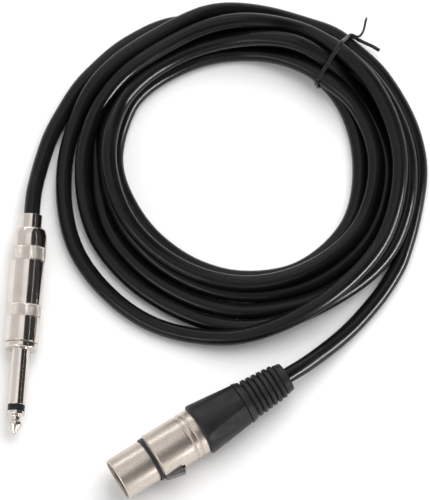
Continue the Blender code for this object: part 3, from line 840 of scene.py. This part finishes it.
# Narrow lights that show only as shine: where each is, its width and depth, and its power. One of them
# shines on the cable alone.
SHINE = (
    ("shine_right", (0.90, -0.56, 0.32), 0.7, 0.10, 2.5),
    ("shine_cable", (0.98, -0.45, 0.36), 1.1, 0.22, 34.0),
    ("shine_near", (0.20, -0.92, 0.60), 0.6, 0.08, 0.5),
    ("shine_left", (-0.60, -0.75, 0.65), 0.6, 0.08, 2.2),
    ("shine_far", (-0.25, 0.95, 0.55), 0.9, 0.05, 1.3),
    ("shine_thin", (0.70, 0.26, 0.70), 0.8, 0.015, 0.10),
)
SKY_STRENGTH = 0.92
# Panels of the sky: where each is, the cosines of its edge and of its core, and its share of the sky's light.
SKY_PANELS = (
    ((0.76, 0.2, 0.60), 0.76, 0.80, 0.055),
    ((0.34, -0.545, 0.766), 0.74, 0.93, 0.34),
    ((-0.50, 0.70, 0.50), 0.60, 0.90, 0.84),
    ((-0.12, 0.24, 0.97), 0.93, 0.985, 1.25),
)
CAMERA_LENS = 597.4
CAMERA_ELEVATION = math.radians(76.2)
CAMERA_DISTANCE = 3.0
CAMERA_TARGET = (-0.00046, 0.0015, 0)


def studio():
    """A pale floor, soft lights, and the camera at the photograph's angle."""
    bpy.ops.mesh.primitive_plane_add(size=8)
    floor = bpy.context.object
    floor.name = "floor"
    pale = Finish("pale_floor", (FLOOR_SHADE,) * 3, 0.7)
    pale.shader.inputs["Specular IOR Level"].default_value = 0.1
    floor.data.materials.append(pale.made)

    key = area_light("key", KEY_PLACE, KEY_SIDE, KEY_SIDE, KEY_POWER)
    key.visible_glossy = False
    for name, place, width, depth, power in SHINE:
        area_light(name, place, width, depth, power).visible_diffuse = False
    sky()

    camera = bpy.data.objects.new("camera", bpy.data.cameras.new("camera"))
    bpy.context.scene.collection.objects.link(camera)
    camera.data.sensor_width = 36
    camera.data.lens = CAMERA_LENS
    away = Vector((0, -math.cos(CAMERA_ELEVATION), math.sin(CAMERA_ELEVATION)))
    camera.location = Vector(CAMERA_TARGET) + CAMERA_DISTANCE * away
    camera.rotation_euler = (math.pi / 2 - CAMERA_ELEVATION, 0, 0)
    bpy.context.scene.camera = camera
    bpy.context.scene.view_settings.view_transform = "Standard"


def sky():
    """White all round, with darker and lighter panels that polished pieces show as stripes."""
    world = bpy.data.worlds.new("studio")
    bpy.context.scene.world = world
    world.use_nodes = True
    tree = world.node_tree
    background = tree.nodes["Background"]
    background.inputs["Color"].default_value = (1, 1, 1, 1)
    place = tree.nodes.new("ShaderNodeTexCoord")
    strength = None
    for aim, edge, core, light in SKY_PANELS:
        toward = tree.nodes.new("ShaderNodeVectorMath")
        toward.operation = "DOT_PRODUCT"
        toward.inputs[1].default_value = Vector(aim).normalized()
        tree.links.new(place.outputs["Generated"], toward.inputs[0])
        shade = tree.nodes.new("ShaderNodeMapRange")
        shade.interpolation_type = "SMOOTHSTEP"
        for key, number in zip(("From Min", "From Max", "To Min"), (edge, core, 1)):
            shade.inputs[key].default_value = number
        shade.inputs["To Max"].default_value = light
        tree.links.new(toward.outputs["Value"], shade.inputs["Value"])
        product = tree.nodes.new("ShaderNodeMath")
        product.operation = "MULTIPLY"
        product.inputs[1].default_value = SKY_STRENGTH
        tree.links.new(shade.outputs["Result"], product.inputs[0])
        if strength:
            tree.links.new(strength, product.inputs[1])
        strength = product.outputs["Value"]
    tree.links.new(strength, background.inputs["Strength"])


def light_only(name, piece):
    """Keeps the light of this name to one piece."""
    group = bpy.data.collections.new(name)
    group.objects.link(piece)
    bpy.data.objects[name].light_linking.receiver_collection = group


def area_light(name, place, width, depth, power):
    """A rectangular light that faces the middle of the object."""
    light = bpy.data.lights.new(name, "AREA")
    light.shape = "RECTANGLE"
    light.size, light.size_y, light.energy = width, depth, power
    obj = bpy.data.objects.new(name, light)
    bpy.context.scene.collection.objects.link(obj)
    obj.location = place
    obj.rotation_mode = "QUATERNION"
    obj.rotation_quaternion = (-Vector(place)).to_track_quat("-Z", "Y")
    obj.visible_camera = False
    return obj


# ---------------------------------------------------------------- the object

studio()
here = Matrix.Identity(4)
plate = polished_nickel_finish()
satin = satin_nickel_finish()
plastic = moulded_finish("black_plastic", (0.008, 0.008, 0.009), (0.014, 0.014, 0.015), 0.36, 0.5, 0.6, 0.012)
rubber = moulded_finish("black_rubber", (0.011, 0.011, 0.012), (0.018, 0.018, 0.019), 0.4, 0.56, 0.5, 0.015)
tie_plastic = moulded_finish(
    "tie_plastic", (0.006, 0.006, 0.007), (0.011, 0.011, 0.012), 0.22, 0.36, 0.8, 0.012
)
steel = metal_finish("spring_steel", (0.20, 0.193, 0.185), (0.15, 0.145, 0.138), 0.42)
gold = metal_finish("gold_plate", (0.85, 0.64, 0.30), (0.78, 0.56, 0.24), 0.24)
brass = metal_finish("tinned_brass", (0.70, 0.63, 0.48), (0.62, 0.54, 0.38), 0.34)
copper = metal_finish("bare_copper", (0.78, 0.42, 0.26), (0.66, 0.33, 0.19), 0.36, 0.25)
grey = moulded_finish("grey_plastic", (0.24, 0.24, 0.25), (0.29, 0.29, 0.30), 0.42, 0.56, 0.7, 0.012)
red = moulded_finish("red_core", (0.48, 0.03, 0.02), (0.56, 0.045, 0.03), 0.36, 0.5, 0.6, 0.01)

cable_points = settle(smooth_curve(cable_plan(), POINT_SPACING))
cable = add(
    "cable", tube_curve("cable", cable_points, CABLE_R, 10), here, jacket_finish(), "cable_jacket", "cable",
    "cable_coil", "cable_jack_lead", "cable_xlr_lead",
)
light_only("shine_cable", cable)
add("tie", tie_mesh(tie_line(cable_points)), here, tie_plastic, "tie_plastic", "cable", "twist_tie")
jack_plug(connector_frame(JACK_AXIS), plate, plastic)
xlr_pieces = xlr_socket(connector_frame(XLR_AXIS), satin, plastic, rubber, steel, gold)

inner_finishes = {
    "xlr_latch_pin": satin,
    "xlr_latch_spring": steel,
    "xlr_cable_clamp": grey,
    "xlr_core_wire": red,
    "xlr_shield_tail": copper,
    "jack_rear_washer": fibre_finish(),
    "jack_tip_terminal": brass,
    "jack_ground_lug": brass,
    "jack_insulating_tube": clear_finish(),
    "jack_core_wire": red,
    "jack_shield_tail": copper,
}
for node, finish in inner_finishes.items():
    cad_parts[node].material_slots[0].material = finish
